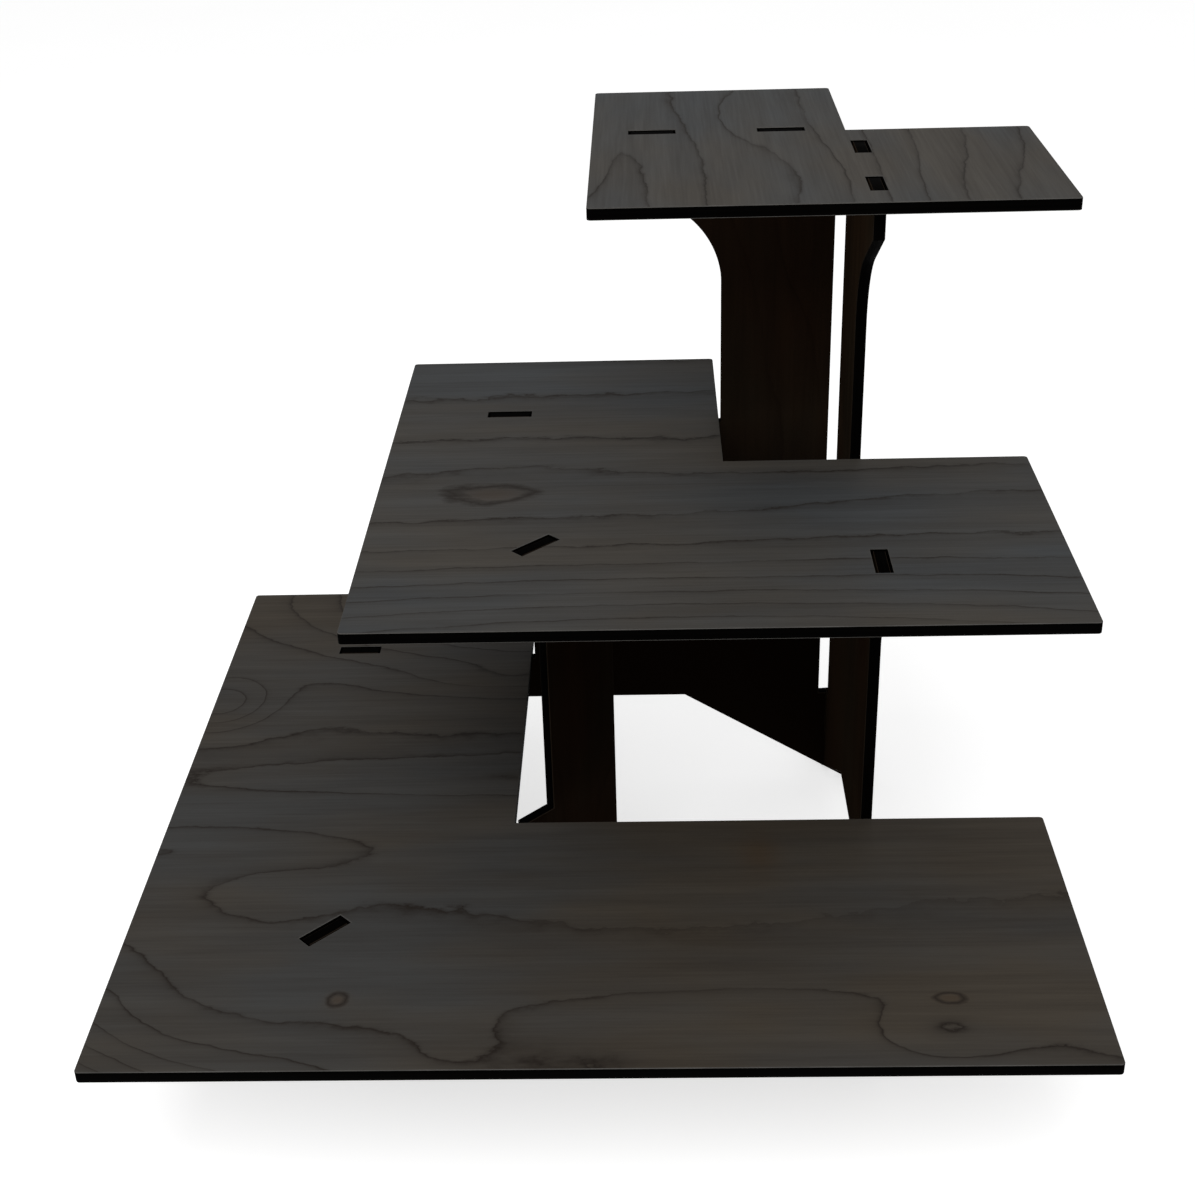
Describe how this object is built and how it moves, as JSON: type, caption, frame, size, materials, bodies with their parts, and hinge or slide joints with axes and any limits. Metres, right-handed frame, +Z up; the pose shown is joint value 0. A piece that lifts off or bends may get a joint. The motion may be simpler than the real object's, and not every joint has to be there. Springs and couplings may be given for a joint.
{
  "type": "tiered display table",
  "caption": "Slot-together plywood display table: L-shaped shelves step up to one corner on crossed side panels and a diagonal panel whose tabs pass through slots in the shelves.",
  "frame": {"origin": "on the floor, under the middle of the plan", "axes": "+X to the right, +Y to the back, +Z up; the shelves step up towards +X and +Y"},
  "size_m": [0.914, 0.914, 0.82],
  "materials": {
    "shelf_board": "plywood with a flat charcoal stain, grain showing, black cut edges",
    "panel_board": "plywood with a near-black brown stain, black cut edges"
  },
  "bodies": {
    "frame": {"left_panel": "panel_board", "right_panel": "panel_board", "diagonal_panel": "panel_board"},
    "top_shelf": {"top_shelf": "shelf_board"},
    "middle_shelf": {"middle_shelf": "shelf_board"},
    "bottom_shelf": {"bottom_shelf": "shelf_board"}
  },
  "joints": [
    {"name": "top_shelf_lift", "type": "slide", "parent": "frame", "child": "top_shelf", "axis": [0, 0, 1], "range_m": [0, 0.15]},
    {"name": "middle_shelf_lift", "type": "slide", "parent": "frame", "child": "middle_shelf", "axis": [0, 0, 1], "range_m": [0, 0.12]},
    {"name": "bottom_shelf_lift", "type": "slide", "parent": "frame", "child": "bottom_shelf", "axis": [0, 0, 1], "range_m": [0, 0.12]}
  ]
}
